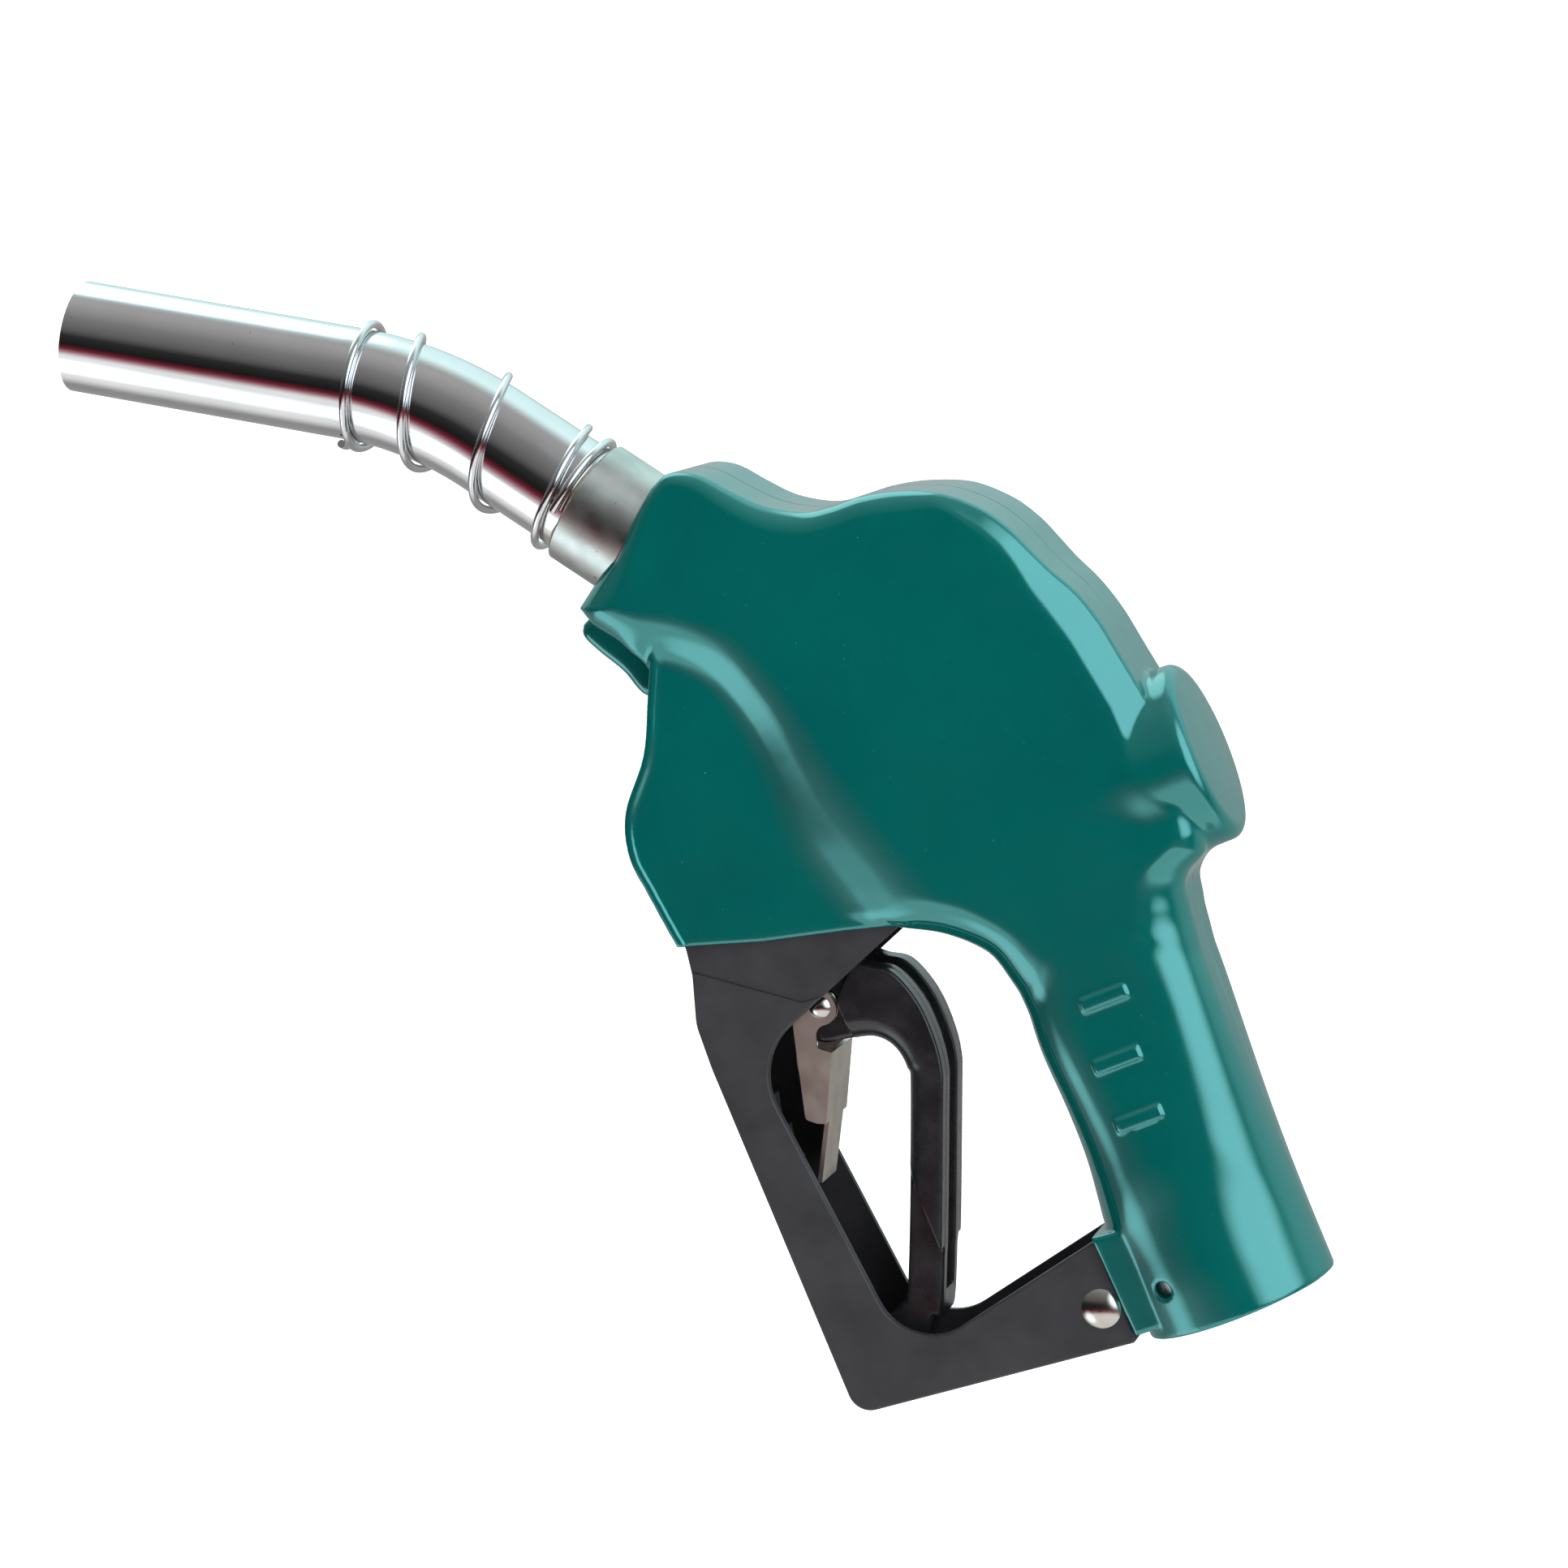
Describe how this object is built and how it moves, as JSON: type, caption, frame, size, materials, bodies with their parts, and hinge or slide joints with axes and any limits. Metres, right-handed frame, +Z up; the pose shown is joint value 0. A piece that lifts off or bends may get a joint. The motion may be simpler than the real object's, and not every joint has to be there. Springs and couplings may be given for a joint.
{
  "type": "fuel nozzle",
  "caption": "Hand-held automatic shut-off fuel nozzle: bent steel spout, coated cast body, squeeze lever with hold-open clip, channel guard and threaded hose inlet.",
  "frame": {"origin": "centre of the hose inlet's mouth, at the bottom of the handle", "axes": "+Z up the handle's axis towards the body, -X towards the spout, the guard and the lever, +Y across the width; the object is symmetric about the XZ plane"},
  "size_m": [0.2527, 0.0516, 0.3665],
  "materials": {
    "cover_vinyl": "glossy moulded vinyl",
    "casting": "as cast",
    "guard_coat": "charcoal satin coat",
    "lever_black": "black, semi-gloss",
    "chrome": "polished",
    "collar_metal": "turned, dull",
    "clip_nickel": "plated sheet",
    "rivet_steel": "bright",
    "steel": "machined",
    "brass": "machined",
    "seal_rubber": "matt"
  },
  "bodies": {
    "nozzle": {"grip_cover": "cover_vinyl", "body_casting": "casting", "handle_casting": "casting", "hand_guard": "guard_coat", "guard_rear_rivet": "rivet_steel", "guard_front_bolts": "steel", "spout_tube": "chrome", "vacuum_tube": "brass", "spout_adapter": "collar_metal", "spout_orings": "seal_rubber", "spout_set_screw": "steel", "spout_anchor_spring": "chrome", "check_seat": "brass", "check_spring": "steel", "valve_seat": "brass", "main_spring": "steel", "packing_gland": "brass", "stem_seal": "seal_rubber", "valve_cap": "brass", "valve_cap_oring": "seal_rubber", "latch_ring": "steel", "plunger_spring": "steel", "diaphragm": "seal_rubber", "diaphragm_spring": "steel", "latch_cap": "casting", "latch_cap_screws": "steel"},
    "latch_slider": {"latch_plunger": "steel", "latch_balls": "steel", "lever_pin": "rivet_steel"},
    "squeeze_lever": {"lever": "lever_black", "clip_rivet": "rivet_steel", "clip_spring": "rivet_steel"},
    "hold_clip": {"hold_open_clip": "clip_nickel"},
    "main_valve": {"main_stem": "steel", "main_poppet": "brass", "poppet_seal": "seal_rubber"},
    "latch_core": {"latch_pin": "steel", "diaphragm_plates": "steel"},
    "check_valve": {"check_poppet": "brass"}
  },
  "joints": [
    {"name": "plunger_drop", "type": "slide", "parent": "nozzle", "child": "latch_slider", "axis": [-0.9397, 0, -0.342], "range_m": [0, 0.006], "stiffness_N_per_m": 900, "springref_m": -0.012, "deforming": ["plunger_spring"]},
    {"name": "lever_pull", "type": "hinge", "parent": "latch_slider", "child": "squeeze_lever", "pos_m": [-0.072, 0, 0.1575], "axis": [0, -1, 0], "range_deg": [0, 14], "stiffness_Nm_per_rad": 2, "springref_deg": -17.19},
    {"name": "clip_swing", "type": "hinge", "parent": "squeeze_lever", "child": "hold_clip", "pos_m": [-0.0724, 0, 0.1123], "axis": [0, -1, 0], "range_deg": [-2, 20], "stiffness_Nm_per_rad": 0.02},
    {"name": "main_valve_lift", "type": "slide", "parent": "nozzle", "child": "main_valve", "axis": [1, 0, 0], "range_m": [0, 0.0056], "deforming": ["main_spring"]},
    {"name": "vacuum_trip", "type": "slide", "parent": "nozzle", "child": "latch_core", "axis": [0.9397, 0, 0.342], "range_m": [0, 0.0026], "stiffness_N_per_m": 400, "springref_m": -0.002, "deforming": ["diaphragm", "diaphragm_spring"]},
    {"name": "check_open", "type": "slide", "parent": "nozzle", "child": "check_valve", "axis": [-0.5736, 0, 0.8192], "range_m": [0, 0.004], "stiffness_N_per_m": 200, "springref_m": -0.006, "deforming": ["check_spring"]}
  ],
  "couplings": [
    {"joint": "main_valve_lift", "follows": "lever_pull", "m_per_rad": 0.0223}
  ]
}
